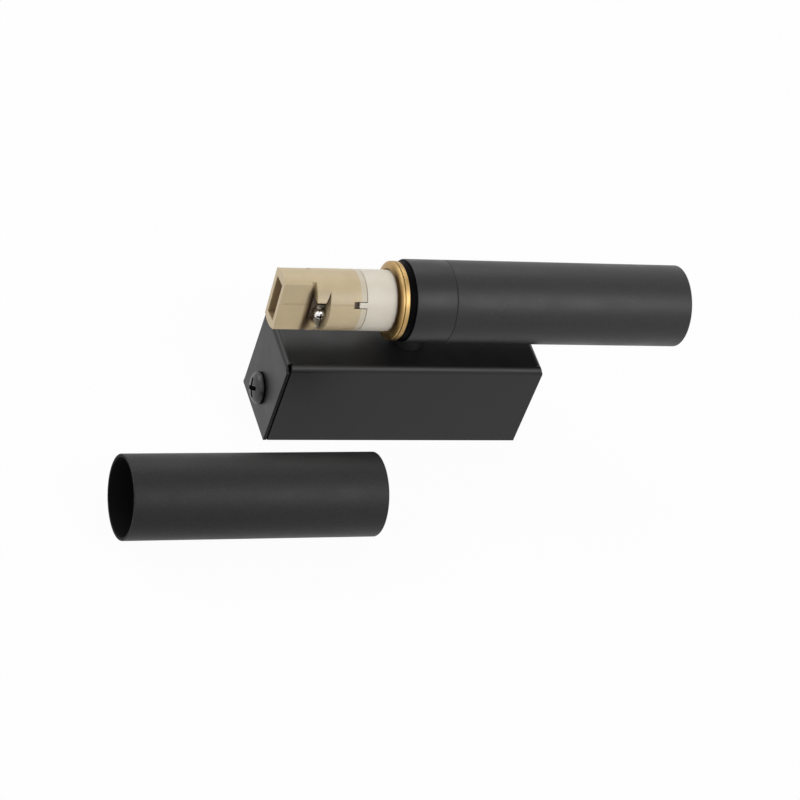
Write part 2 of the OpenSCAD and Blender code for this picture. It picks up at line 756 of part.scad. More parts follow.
canopy();
wall_bracket();
canopy_screw(-1);  // canopy_screw_left
canopy_screw(1);  // canopy_screw_right
stem_spacer();
stem_nipple();
stem_nut();
stem_washer();
wire_bush();
collar();
ring(-1);  // ring_left
ring(1);  // ring_right
holder_nipple(-1);  // holder_nipple_left
holder_nipple(1);  // holder_nipple_right
holder_cap(-1);  // holder_cap_left
holder_cap(1);  // holder_cap_right
holder_body(-1);  // holder_body_left
holder_body(1);  // holder_body_right
holder_screw(-1);  // holder_screw_left
holder_screw(1);  // holder_screw_right
holder_clip(-1);  // holder_clip_left
holder_clip(1);  // holder_clip_right
contacts(-1);  // contacts_left
contacts(1);  // contacts_right
shade_left();
shade_right();
terminal_block();
terminal_inserts();
terminal_screws();
block_screw();
earth_screw();
earth_lug();
wire_brown_left();
wire_blue_left();
wire_brown_right();
wire_blue_right();
wire_earth();
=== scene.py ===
import bmesh
import bpy
import math
from mathutils import Matrix, Vector


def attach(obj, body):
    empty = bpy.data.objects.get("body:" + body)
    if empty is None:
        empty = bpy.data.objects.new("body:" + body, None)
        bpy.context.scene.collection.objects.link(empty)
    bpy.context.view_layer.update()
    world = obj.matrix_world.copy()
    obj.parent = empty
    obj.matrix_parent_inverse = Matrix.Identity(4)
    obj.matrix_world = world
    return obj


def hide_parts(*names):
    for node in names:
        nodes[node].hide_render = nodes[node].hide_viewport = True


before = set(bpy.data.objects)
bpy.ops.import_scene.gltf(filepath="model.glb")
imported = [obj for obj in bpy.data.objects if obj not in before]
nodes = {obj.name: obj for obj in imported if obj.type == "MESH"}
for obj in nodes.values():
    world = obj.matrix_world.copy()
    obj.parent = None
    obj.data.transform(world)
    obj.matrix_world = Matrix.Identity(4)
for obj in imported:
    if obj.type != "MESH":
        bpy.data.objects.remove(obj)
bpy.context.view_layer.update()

# Camera: a long lens looking down from the front left, rolled so that the two tubes run
# nearly level across the picture.

camera_data = bpy.data.cameras.new("camera")
camera = bpy.data.objects.new("camera", camera_data)
bpy.context.scene.collection.objects.link(camera)
picture_right = Vector((0.923062, -0.266922, 0.276961))
picture_down = Vector((0.006308, -0.709432, -0.704746))
look = Vector((0.384597, 0.652271, -0.653167))
camera_spot = Vector((-0.476259, -0.818917, 0.825255))
camera_axes = [(*axis, 0) for axis in (picture_right, -picture_down, -look)]
camera.matrix_world = Matrix(camera_axes + [(*camera_spot, 1)]).transposed()
camera_data.sensor_width = 36
camera_data.lens = 153.09
camera_data.clip_start = 0.05
camera_data.clip_end = 30
bpy.context.scene.camera = camera
bpy.context.scene.view_settings.view_transform = "Standard"

# Ground and light: a white table in a white room. Broad soft boxes stand at the left, the back left,
# the front right and over the back, so the round parts carry one soft band along their length.

mm = 0.001


def put(tree, kind, values=None, **settings):
    """Adds a node, with its settings and the values of its unlinked inputs."""
    node = tree.nodes.new(kind)
    for key, value in settings.items():
        setattr(node, key, value)
    for key, value in (values or {}).items():
        node.inputs[key].default_value = value
    return node


def link(tree, *runs):
    """Links nodes; a run is a node, its output, the node that it feeds and the input there."""
    for giver, output, taker, entry in runs:
        tree.links.new(giver.outputs[output], taker.inputs[entry])


def start_material(name, values=None):
    """A material with one Principled shader with its fixed values, and the tree to build it in."""
    material = bpy.data.materials.new(name)
    material.use_nodes = True
    tree = material.node_tree
    tree.nodes.clear()
    shader = put(tree, "ShaderNodeBsdfPrincipled", values)
    output = put(tree, "ShaderNodeOutputMaterial")
    link(tree, (shader, "BSDF", output, "Surface"))
    return material, tree, shader


def white_to_the_eye(tree, background, lit_share):
    """Mixes a lit surface with plain white wherever the camera, gloss or glass looks at it."""
    path = put(tree, "ShaderNodeLightPath")
    seen = put(tree, "ShaderNodeMath", operation="ADD", use_clamp=True)
    seen_too = put(tree, "ShaderNodeMath", operation="ADD", use_clamp=True)
    share = put(tree, "ShaderNodeMath", {1: 1 - lit_share}, operation="MULTIPLY")
    link(
        tree, (path, "Is Camera Ray", seen, 0), (path, "Is Glossy Ray", seen, 1), (seen, 0, seen_too, 0),
        (path, "Is Transmission Ray", seen_too, 1), (seen_too, 0, share, 0))
    mix = put(tree, "ShaderNodeMixShader")
    link(tree, (share, 0, mix, "Fac"), (background, 0, mix, 1))
    return mix


def lay_sheet(name, half_x, half_y, height, paint):
    """A flat rectangle round the origin, set out as part of the stage."""
    mesh = bpy.data.meshes.new(name)
    corners = [(x * half_x, y * half_y, height) for x, y in ((-1, -1), (1, -1), (1, 1), (-1, 1))]
    mesh.from_pydata(corners, [], [(0, 1, 2, 3)])
    mesh.materials.append(paint)
    sheet_piece = bpy.data.objects.new(name, mesh)
    bpy.context.scene.collection.objects.link(sheet_piece)


white_table, tree, shader = start_material(
    "white_table", {"Base Color": (0.86, 0.86, 0.86, 1), "Roughness": 0.8})
plain_white = put(tree, "ShaderNodeEmission", {"Color": (1, 1, 1, 1), "Strength": 1.0})
mix = white_to_the_eye(tree, shader, 0.04)
link(tree, (plain_white, 0, mix, 2), (mix, 0, tree.nodes["Material Output"], "Surface"))
table_half = 3.0
lay_sheet("ground", table_half, table_half, -0.03 * mm, white_table)

# the patch that the canopy covers is only lit, and a darker grey than the table as painted shade, so that
# the canopy's open seams look dark
covered_table, tree, shader = start_material(
    "covered_table", {"Base Color": (0.6, 0.6, 0.6, 1), "Roughness": 0.8})
covered_x, covered_y = 49.6, 15.4
lay_sheet("covered_ground", covered_x * mm, covered_y * mm, -0.02 * mm, covered_table)

world = bpy.data.worlds.new("white_room")
world.use_nodes = True
bpy.context.scene.world = world
tree = world.node_tree
tree.nodes.clear()
output = put(tree, "ShaderNodeOutputWorld")
room = put(tree, "ShaderNodeBackground", {"Color": (0.93, 0.96, 1, 1), "Strength": 0.38})
seen_room = put(tree, "ShaderNodeBackground", {"Color": (1, 1, 1, 1), "Strength": 1.0})
mix = white_to_the_eye(tree, room, 0.0)
link(tree, (seen_room, 0, mix, 2), (mix, 0, output, "Surface"))

lit_spot = Vector((0, 0, 0.04))


def soft_box(name, spot, width, height, power, tint):
    """A rectangular lamp at spot that faces the sconce."""
    lamp = bpy.data.lights.new(name, "AREA")
    lamp.shape = "RECTANGLE"
    lamp.size = width
    lamp.size_y = height
    lamp.energy = power
    lamp.color = tint
    holder = bpy.data.objects.new(name, lamp)
    holder.location = spot
    holder.rotation_euler = (lit_spot - Vector(spot)).to_track_quat("-Z", "Y").to_euler()
    bpy.context.scene.collection.objects.link(holder)


soft_box("lamp_left", (-1.5, -0.35, 0.85), 1.0, 1.0, 2.6, (1, 0.98, 0.95))
soft_box("lamp_back_left", (-1.05, 0.85, 0.75), 0.7, 0.7, 5.8, (1, 0.99, 0.96))
soft_box("lamp_camera", (0.65, -1.05, 1.15), 1.2, 0.9, 12, (1, 0.99, 0.97))
soft_box("lamp_back", (0.1, 1.2, 1.3), 1.2, 0.7, 5, (1, 0.99, 0.97))

# Canopy: a tray folded from 1.2 mm sheet steel, with open seams and a small relief notch at its
# corners. It is powder coated black: a fine sand texture that lies thinner on folds and edges.

half_x, half_y, top = 50, 15.75, 36.5
sheet = 1.2
fold_r = 2.4
fold_steps = 8
seam = 0.5
corner_gap = 0.22
cover_gap = 0.3  # from a long flange's far edge to the canopy's end
low_cover_gap = 0.8
end_gap = 0.3  # from an end flange's near edge to the long flange's wall
fold_margin = 0.5
stem_hole_r = 5.15
side_hole_r = 2.8
side_screw_z = 11


def new_group(name, inputs, outputs):
    """An empty node group with number inputs and outputs."""
    group = bpy.data.node_groups.new(name, "ShaderNodeTree")
    for label, value in inputs.items():
        socket = group.interface.new_socket(name=label, in_out="INPUT", socket_type="NodeSocketFloat")
        socket.default_value = value
    for label in outputs:
        group.interface.new_socket(name=label, in_out="OUTPUT", socket_type="NodeSocketFloat")
    return group, put(group, "NodeGroupInput"), put(group, "NodeGroupOutput")


def noise_of_size(tree, size_socket, detail):
    """A noise in the piece's own coordinates whose spots have the size in mm that the socket gives."""
    place = put(tree, "ShaderNodeTexCoord")
    per_metre = put(tree, "ShaderNodeMath", {0: 1000}, operation="DIVIDE")
    noise = put(tree, "ShaderNodeTexNoise", {"Detail": detail, "Roughness": 0.6})
    tree.links.new(size_socket, per_metre.inputs[1])
    link(tree, (place, "Object", noise, "Vector"), (per_metre, 0, noise, "Scale"))
    return noise


# fine sand of a powder coat: its height, and a slow cloud that varies colour and gloss
sand, group_in, group_out = new_group("coat_sand", {"Grain mm": 0.4, "Cloud mm": 9}, ("Height", "Cloud"))
grain = noise_of_size(sand, group_in.outputs["Grain mm"], 3)
cloud = noise_of_size(sand, group_in.outputs["Cloud mm"], 5)
link(sand, (grain, "Fac", group_out, "Height"), (cloud, "Fac", group_out, "Cloud"))

# edge mask: where the normal of a softened edge parts from the surface's own
edges, group_in, group_out = new_group("thin_edges", {"Width mm": 0.5, "Amount": 1}, ("Mask",))
metres = put(edges, "ShaderNodeMath", {1: mm}, operation="MULTIPLY")
softened = put(edges, "ShaderNodeBevel", samples=6)
surface = put(edges, "ShaderNodeNewGeometry")
parting = put(edges, "ShaderNodeVectorMath", operation="DOT_PRODUCT")
mask = put(edges, "ShaderNodeMapRange", {"From Min": 1.0, "From Max": 0.86, "To Min": 0, "To Max": 1})
patchy = noise_of_size(edges, group_in.outputs["Width mm"], 2)
worn = put(edges, "ShaderNodeMath", operation="MULTIPLY")
amount = put(edges, "ShaderNodeMath", operation="MULTIPLY", use_clamp=True)
link(
    edges, (group_in, "Width mm", metres, 0), (metres, 0, softened, "Radius"),
    (softened, "Normal", parting, 0), (surface, "Normal", parting, 1), (parting, "Value", mask, "Value"),
    (mask, "Result", worn, 0), (patchy, "Fac", worn, 1), (worn, 0, amount, 0),
    (group_in, "Amount", amount, 1), (amount, 0, group_out, "Mask"))


def use_group(tree, group, values):
    """Places a node group in a material with its own values."""
    return put(tree, "ShaderNodeGroup", values, node_tree=group)


def blend_colours(tree, mask, low, high):
    """A colour that runs from low to high as the mask goes from 0 to 1."""
    mix = put(tree, "ShaderNodeMix", data_type="RGBA")
    tree.links.new(mask, mix.inputs["Factor"])
    for socket, colour in ((mix.inputs["A"], low), (mix.inputs["B"], high)):
        if isinstance(colour, tuple):
            socket.default_value = (*colour, 1)
        else:
            tree.links.new(colour, socket)
    return mix.outputs["Result"]


def spread(tree, value, low, high, start=0.3, end=0.7):
    """Maps a noise value between start and end to numbers between low and high."""
    node = put(tree, "ShaderNodeMapRange", {
        "From Min": start, "From Max": end, "To Min": low, "To Max": high})
    tree.links.new(value, node.inputs["Value"])
    return node.outputs["Result"]


def raise_surface(tree, shader, height, strength, distance_mm, round_mm=0):
    """Feeds a height through a Bump node into the shader's normal; round_mm shades the edges round."""
    bump = put(tree, "ShaderNodeBump", {"Strength": strength, "Distance": distance_mm * mm})
    if round_mm:
        rounding = put(tree, "ShaderNodeBevel", {"Radius": round_mm * mm}, samples=6)
        link(tree, (rounding, "Normal", bump, "Normal"))
    tree.links.new(height, bump.inputs["Height"])
    link(tree, (bump, "Normal", shader, "Normal"))


def colour_and_gloss(tree, shader, colour, value, low, high):
    """Links a colour to the shader, and a roughness from low to high that follows a noise value."""
    tree.links.new(colour, shader.inputs["Base Color"])
    tree.links.new(spread(tree, value, low, high), shader.inputs["Roughness"])


def powder_coat(name, dark, pale, grain_mm, bump, rough, gloss, edge=0.8):
    """Black powder coat: sand texture, slow clouds in its colour, paler specks and thin edges."""
    specks, speck_paleness, edge_paleness = 0.35, 2.2, 3.2
    material, tree, shader = start_material(name, {"Specular IOR Level": gloss})
    coat = use_group(tree, sand, {"Grain mm": grain_mm})
    thin = use_group(tree, edges, {"Width mm": 0.5, "Amount": edge})
    cloudy = blend_colours(tree, spread(tree, coat.outputs["Cloud"], 0, 1), dark, pale)
    high_grains = spread(tree, coat.outputs["Height"], 0, specks, 0.45, 0.7)
    speckled = blend_colours(tree, high_grains, cloudy, tuple(speck_paleness * c for c in pale))
    edged = blend_colours(tree, thin.outputs["Mask"], speckled, tuple(edge_paleness * c for c in pale))
    colour_and_gloss(tree, shader, edged, coat.outputs["Cloud"], rough - 0.04, rough + 0.05)
    raise_surface(tree, shader, coat.outputs["Height"], bump, 0.05)
    return material


def make_piece(name, points, faces):
    """A mesh object from points in mm, in the part's frame."""
    mesh = bpy.data.meshes.new(name)
    mesh.from_pydata([Vector(point) * mm for point in points], [], faces)
    shape = bmesh.new()
    shape.from_mesh(mesh)
    bmesh.ops.remove_doubles(shape, verts=shape.verts, dist=0.0005 * mm)
    bmesh.ops.recalc_face_normals(shape, faces=shape.faces)
    shape.to_mesh(mesh)
    shape.free()
    piece = bpy.data.objects.new(name, mesh)
    bpy.context.scene.collection.objects.link(piece)
    return piece


def settle(piece):
    """Makes the piece's modifiers part of its mesh."""
    bpy.context.view_layer.update()
    done = bpy.data.meshes.new_from_object(piece.evaluated_get(bpy.context.evaluated_depsgraph_get()))
    piece.modifiers.clear()
    old = piece.data
    piece.data = done
    bpy.data.meshes.remove(old)


def cut(piece, *tools, operation="DIFFERENCE"):
    """Cuts the tools out of the piece, or joins them to it, and throws the tools away."""
    for tool in tools:
        change = piece.modifiers.new("cut", "BOOLEAN")
        change.operation = operation
        change.solver = "EXACT"
        change.material_mode = "TRANSFER" if tool.data.materials else "INDEX"
        change.object = tool
        settle(piece)
        bpy.data.objects.remove(tool)


def soften(piece, width, angle=35, steps=2):
    """Rounds the piece's edges by width in mm, and smooths its shading between them."""
    if width:
        rounding = piece.modifiers.new("soft edges", "BEVEL")
        rounding.width = width * mm
        rounding.segments = steps
        rounding.limit_method = "ANGLE"
        rounding.angle_limit = math.radians(angle)
        rounding.use_clamp_overlap = False
        settle(piece)
    piece.data.shade_smooth()
    piece.data.set_sharp_from_angle(angle=math.radians(angle))
    if width:
        level = piece.modifiers.new("flat faces", "WEIGHTED_NORMAL")
        level.keep_sharp = True
        settle(piece)


def turned(name, outline, place, steps=128, ridge=None):
    """Turns a closed outline of (height, radius) about the place's Z; a ridge adds to the radius."""
    points = []
    rows = []
    for height, radius in outline:
        first = len(points)
        if radius == 0:
            rows.append([first] * steps)
            points.append(place @ Vector((0, 0, height)))
            continue
        rows.append(range(first, first + steps))
        for step in range(steps):
            turn = math.tau * step / steps
            reach = radius + (ridge(height, radius, step / steps) if ridge else 0)
            points.append(place @ Vector((reach * math.cos(turn), reach * math.sin(turn), height)))
    faces = []
    for row, following in zip(rows, rows[1:] + rows[:1]):
        for step in range(steps):
            after = (step + 1) % steps
            face = list(dict.fromkeys((row[step], row[after], following[after], following[step])))
            if len(face) > 2:
                faces.append(face)
    return make_piece(name, points, faces)


def drill(name, radius, start, end, place):
    """A rod along the place's Z, used only as a cutting tool."""
    return turned(name, [(start, 0), (start, radius), (end, radius), (end, 0)], place, 48)


def strip(points, faces, rows):
    """Adds a strip of quads through rows of points, each row one step further along the sheet."""
    for row, following in zip(rows, rows[1:]):
        for a, b, c, d in zip(row, row[1:], following[1:], following):
            first = len(points)
            points.extend((a, b, c, d))
            faces.append((first, first + 1, first + 2, first + 3))


fold = []
for step in range(fold_steps + 1):
    turn = math.pi / 2 * step / fold_steps
    fold.append((fold_r * math.sin(turn), fold_r * (1 - math.cos(turn))))
points = []
faces = []
plate_x, plate_y = half_x - fold_r, half_y - fold_r
start_x, start_y = plate_x - corner_gap, plate_y - corner_gap
near_x = half_x - sheet - seam
far_x = half_x - cover_gap
low_far_x = half_x - low_cover_gap
near_y = half_y - sheet - end_gap
plate_rows = [[(x, y, top) for y in (-start_y, start_y)] for x in (-plate_x, -start_x, start_x, plate_x)]
strip(points, faces, plate_rows)
for s in (-1, 1):
    # a long flange: short of the end flange at one end, over the other end flange's edge
    rows = [[(-s * x, s * start_y, top) for x in (start_x, -start_x)]]
    for out, fall in fold:
        rows.append([(-s * min(start_x + out, far_x), s * (plate_y + out), top - fall),
                     (s * min(start_x + out, near_x), s * (plate_y + out), top - fall)])
    rows.append([(-s * x, s * half_y, 0) for x in (low_far_x, -near_x)])
    strip(points, faces, rows)
    # an end flange: its fold ends inside the long flange's wall
    rows = []
    for out, fall in fold:
        deep = max(0, (fall - sheet) / sheet)
        reach = start_y + sheet * math.sin(math.acos(1 - deep))
        rows.append([(s * (plate_x + out), s * y, top - fall) for y in (-reach, reach)])
    for z in (top - fold_r - fold_margin, 0):
        rows.append([(s * half_x, s * y, z) for y in (-near_y, half_y)])
    strip(points, faces, rows)
canopy = make_piece("canopy_sheet", points, faces)
thickness = canopy.modifiers.new("sheet", "SOLIDIFY")
thickness.thickness = sheet * mm
thickness.offset = -1
thickness.use_even_offset = True
settle(canopy)
upright = Matrix()
outwards = {
    s: Matrix.Translation((s * half_x, 0, side_screw_z)) @ Matrix.Rotation(s * math.pi / 2, 4, "Y")
    for s in (-1, 1)}
cut(canopy, drill("stem_hole", stem_hole_r, top - 3 * sheet, top + sheet, upright))
for s in (-1, 1):
    cut(canopy, drill("screw_hole", side_hole_r, -3 * sheet, sheet, outwards[s]))
soften(canopy, 0.18, angle=50, steps=3)
canopy_coat = powder_coat(
    "canopy_black", (0.007, 0.007, 0.0073), (0.0095, 0.0095, 0.0098), 0.35, 0.25, 0.38, 0.3)

# the sheet's ends at the open corners: a thinner, darker coat and painted shade from the seams, darkest near
# the top and a little paler towards the table
cut_edge_and_shade, tree, shader = start_material("canopy_cut_edge", {"Specular IOR Level": 0.2})
skin = use_group(tree, sand, {"Grain mm": 0.3, "Cloud mm": 5})
place = put(tree, "ShaderNodeTexCoord")
parts = put(tree, "ShaderNodeSeparateXYZ")
link(tree, (place, "Object", parts, 0))
low_down = spread(tree, parts.outputs["Z"], 1, 0, 0, 0.03)
shade_of_edge = blend_colours(tree, low_down, (0.0015, 0.0015, 0.0015), (0.008, 0.008, 0.008))
colour_and_gloss(tree, shader, shade_of_edge, skin.outputs["Cloud"], 0.55, 0.65)
canopy.data.materials.append(canopy_coat)
canopy.data.materials.append(cut_edge_and_shade)
for face in canopy.data.polygons:
    spot = face.center / mm
    low = spot.z < top - fold_r - 0.3
    if low and abs(face.normal.y) > 0.6 and half_x - sheet - 0.05 < abs(spot.x) and abs(spot.y) > plate_y:
        face.material_index = 1
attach(canopy, "fixture")
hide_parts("canopy")

# Wall bracket: a zinc-plated steel strap with two tapped ears, which takes the wall screws in its
# slots and the canopy's two side screws in its ears.


def dress(name, material):
    """Gives a CAD node its material."""
    for place in nodes[name].material_slots:
        place.material = material


def metal(name, dark, pale, rough, bump=0.1):
    """Plated or bare metal with a slow change of tint and a fine uneven surface."""
    material, tree, shader = start_material(name, {"Metallic": 1})
    skin = use_group(tree, sand, {"Grain mm": 0.6, "Cloud mm": 6})
    tint = blend_colours(tree, spread(tree, skin.outputs["Cloud"], 0, 1), dark, pale)
    thin = use_group(tree, edges, {"Width mm": 0.3, "Amount": 0.6})
    tinted = blend_colours(tree, thin.outputs["Mask"], tint, tuple(min(1, 1.25 * c) for c in pale))
    colour_and_gloss(tree, shader, tinted, skin.outputs["Height"], rough - 0.06, rough + 0.08)
    raise_surface(tree, shader, skin.outputs["Height"], bump, 0.02, 0.15)
    return material


zinc = metal("zinc_plate", (0.5, 0.5, 0.5), (0.66, 0.66, 0.68), 0.36)
dress("wall_bracket", zinc)

# Canopy screws: black pan heads with a cross recess, driven through the end flanges into the
# bracket's ears. The black is rubbed where the driver and a thumb have been.


def thread(pitch, depth, start, end):
    """A ridge for turned(): a V thread between two heights, that fades out at both ends."""
    def ridge(height, radius, turn):
        if not start <= height <= end:
            return 0
        wave = abs((height / pitch - turn) % 1 - 0.5) * 2
        fade = min(1, (height - start) / pitch, (end - height) / pitch)
        return -depth * (1 - wave) * fade
    return ridge


def ring_quads(firsts, n):
    """Quads between neighbouring rings of n points, given the number of each ring's first point."""
    return [(a + i, a + (i + 1) % n, b + (i + 1) % n, b + i)
            for a, b in zip(firsts, firsts[1:]) for i in range(n)]


def cross_tool(name, place, size, width, depth):
    """A tapered cross, used only as a cutting tool for a screw's recess."""
    above = 0.4
    outline = []
    for quarter in range(4):
        arm = Matrix.Rotation(quarter * math.pi / 2, 2)
        for x, y in ((width / 2, width / 2), (size / 2, width / 2), (size / 2, -width / 2)):
            outline.append(arm @ Vector((x, -y)))
    points = []
    for height, share in ((above, 1.05), (0, 1), (-0.55 * depth, 0.8), (-depth, 0.35)):
        points.extend(place @ Vector((p.x * share, p.y * share, height)) for p in outline)
    n = len(outline)
    faces = [tuple(range(n)), tuple(range(3 * n, 4 * n))]
    faces += ring_quads(range(0, 4 * n, n), n)
    return make_piece(name, points, faces)


def pan_screw(name, place, paint, head_r, head_h, shank_r, shank_l, recess, pitch, straight):
    """A pan-head screw: domed head, cross recess, and a shank with its thread."""
    rim = straight * head_h
    dome = [(rim + (head_h - rim) * math.sin(a), head_r * math.cos(a) ** 0.8 if a < 1.5 else 0)
            for a in (math.pi / 2 * i / 10 for i in range(11))]
    rows = int(shank_l / pitch * 8)
    shank = [(-shank_l * i / rows, shank_r) for i in range(1, rows)]
    outline = dome[::-1] + [(0.1 * head_h, head_r), (0, 0.96 * head_r), (0, shank_r)] + shank
    outline += [(-shank_l, shank_r - 0.5), (-shank_l, 0)]
    head = turned(name, outline, place, 64, thread(pitch, 0.35 * pitch, -shank_l + 0.2, -0.3))
    head.data.materials.append(paint)
    cross = cross_tool("recess", place @ Matrix.Translation((0, 0, head_h)), *recess)
    cross.data.materials.append(recess_dark)
    cut(head, cross)
    soften(head, 0, angle=38)
    return head


# old grease and shade in a driver recess
recess_dark = powder_coat(
    "recess_dark", (0.001, 0.001, 0.001), (0.003, 0.003, 0.003), 0.4, 0.2, 0.6, 0.05, 0.1)
screw_black = powder_coat(
    "screw_black", (0.008, 0.008, 0.0085), (0.022, 0.022, 0.022), 1.6, 0.5, 0.34, 0.45, 1.2)
screw_turn = math.radians(38)
dark_rim = 0.75  # the head is in its own shade up to this height, and so is the shank
for side, s in (("left", -1), ("right", 1)):
    turned_in = outwards[s] @ Matrix.Rotation(screw_turn, 4, "Z")
    screw = pan_screw(
        "side_screw_" + side, turned_in, screw_black, head_r=6, head_h=3.3, shank_r=2.45, shank_l=8.5,
        recess=(7.6, 1.6, 2.3), pitch=0.8, straight=0.2)
    screw.data.materials.append(recess_dark)
    for face in screw.data.polygons:
        if abs(face.center.x) < (half_x + dark_rim) * mm:
            face.material_index = len(screw.data.materials) - 1
    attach(screw, "fixture")
    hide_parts("canopy_screw_" + side)

# Stem: a black spacer stands on the canopy and carries the collar, over a hollow threaded nipple
# that a washer and nut hold inside. A white plastic bush keeps the wires off the nipple's edge.

axis_z = 55.5
spacer_r = 6.25
spacer_bore = 5.05
saddle_r = 15.05
spacer_steps = 96


def saddle(radius, turn):
    """Height at which the spacer's wall meets the collar."""
    return axis_z - math.sqrt(saddle_r ** 2 - (radius * math.sin(turn)) ** 2)


points = []
chamfer = 0.2
walls = (
    (spacer_bore, top), (spacer_r - chamfer, top), (spacer_r, top + chamfer), (spacer_r, None),
    (spacer_bore, None))
for radius, height in walls:
    for step in range(spacer_steps):
        turn = math.tau * step / spacer_steps
        z = saddle(radius, turn) if height is None else height
        points.append((radius * math.cos(turn), radius * math.sin(turn), z))
faces = ring_quads([*range(0, len(points), spacer_steps), 0], spacer_steps)
spacer = make_piece("spacer_tube", points, faces)
soften(spacer, 0)
collar_coat = powder_coat(
    "collar_black", (0.009, 0.009, 0.0095), (0.012, 0.012, 0.0125), 0.35, 0.3, 0.42, 0.36)
spacer.data.materials.append(collar_coat)
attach(spacer, "fixture")
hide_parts("stem_spacer")

nipple_low = 29.1
nipple_high = 50.2
nipple_r = 4.95
nipple_bore = 3.6
plain_end = 0.4


def hollow_nipple(name, start, end, place):
    """An M10 hollow nipple with its thread."""
    count = int((end - start) / 0.125)
    threaded = end - start - 2 * plain_end
    outer = [(start + plain_end + threaded * i / count, nipple_r) for i in range(count + 1)]
    outline = [(end - 0.25, nipple_bore), (end, 3.85), (end, 4.6)] + outer[::-1]
    outline += [(start, 4.6), (start, 3.85), (start + 0.25, nipple_bore)]
    piece = turned(name, outline, place, 48, lambda height, radius, turn: (
        thread(1.0, 0.45, start, end)(height, radius, turn) if radius > 4.7 else 0))
    soften(piece, 0, angle=50)
    piece.data.materials.append(zinc)
    return piece


nipple = hollow_nipple("stem_tube", nipple_low, nipple_high, upright)
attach(nipple, "fixture")
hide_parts("stem_nipple")
dress("stem_nut", zinc)
dress("stem_washer", zinc)


def moulding(name, dark, pale, rough, gloss):
    """Moulded plastic or ceramic: faint clouds, a fine skin and edges that shade round."""
    material, tree, shader = start_material(name, {"Specular IOR Level": gloss})
    skin = use_group(tree, sand, {"Grain mm": 0.5, "Cloud mm": 12})
    tint = blend_colours(tree, spread(tree, skin.outputs["Cloud"], 0, 1), dark, pale)
    colour_and_gloss(tree, shader, tint, skin.outputs["Cloud"], rough - 0.05, rough + 0.05)
    raise_surface(tree, shader, skin.outputs["Height"], 0.1, 0.03, 0.2)
    return material


white_plastic = moulding("white_plastic", (0.74, 0.73, 0.69), (0.82, 0.81, 0.77), 0.4, 0.5)
dress("wire_bush", white_plastic)

# Collar: turned from solid and coated black. Each end steps down to a dark seat for a shade and a
# threaded neck for its brass ring, with a bore that holds the lampholder's cap.

tube_r = 15
collar_half = 7.75
step_end = 10.35
neck_end = 12.9
web_half = 6.5
socket_r = 11.2
neck_r = 12.1
step_r = 14.15
m10_hole_r = 5


def rounded(outline, radii):
    """A closed outline with its corners rounded by the given radii in mm, 0 for a sharp one."""
    steps = 4
    result = []
    for i, radius in enumerate(radii):
        corner = Vector(outline[i])
        before = Vector(outline[i - 1]) - corner
        after = Vector(outline[(i + 1) % len(outline)]) - corner
        if radius == 0:
            result.append(tuple(corner))
            continue
        half = before.angle(after) / 2
        reach = min(radius / math.tan(half), 0.48 * before.length, 0.48 * after.length)
        radius = reach * math.tan(half)
        start = corner + before.normalized() * reach
        end = corner + after.normalized() * reach
        middle = corner + (before.normalized() + after.normalized()).normalized() * radius / math.sin(half)
        for step in range(steps + 1):
            arm = (start - middle).lerp(end - middle, step / steps).normalized() * radius
            result.append(tuple(middle + arm))
    return result


along = Matrix.Translation((0, 0, axis_z)) @ Matrix.Rotation(math.pi / 2, 4, "Y")
collar_outline = [
    (neck_end, socket_r), (neck_end, neck_r), (step_end, neck_r), (step_end, step_r), (collar_half, step_r),
    (collar_half, tube_r)]
collar_outline += [(-x, r) for x, r in reversed(collar_outline)]
collar_outline += [
    (-web_half, socket_r), (-web_half, m10_hole_r), (web_half, m10_hole_r), (web_half, socket_r)]
radii = [0.15, 0.15, 0.1, 0.3, 0.1, 0.32, 0.32, 0.1, 0.3, 0.1, 0.15, 0.15, 0.2, 0.2, 0.2, 0.2]
collar = turned("collar_turned", rounded(collar_outline, radii), along, 160)
cut(collar, drill("nipple_hole", m10_hole_r, axis_z - tube_r - 1, axis_z, upright))
soften(collar, 0, angle=30)
step_black = powder_coat(
    "step_black", (0.0006, 0.0006, 0.0006), (0.001, 0.001, 0.001), 0.3, 0.1, 0.5, 0.03, 0.3)
collar.data.materials.append(collar_coat)
collar.data.materials.append(step_black)
# the steps are painted near black with almost no gloss, darker than the collar's coat; the corner by each
# shoulder takes it too, as painted shade
for face in collar.data.polygons:
    from_middle = abs(face.center.x)
    off_axis = Vector((face.center.y, face.center.z - axis_z * mm)).length
    on_step = from_middle > (collar_half + 0.02) * mm
    in_shoulder_shade = from_middle > (collar_half - 0.2) * mm and off_axis < (step_r + 0.35) * mm
    if on_step or in_shoulder_shade:
        face.material_index = 1
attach(collar, "fixture")
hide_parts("collar")

# Brass rings: turned, lacquered and screwed on the collar's necks, with one fine groove and a
# wide cone at the front that guides the shade on. Turning has left fine lines round them.


def overlap(tree, first, *masks):
    """The product of masks."""
    for mask in masks:
        product = put(tree, "ShaderNodeMath", operation="MULTIPLY")
        tree.links.new(first, product.inputs[0])
        tree.links.new(mask, product.inputs[1])
        first = product.outputs[0]
    return first
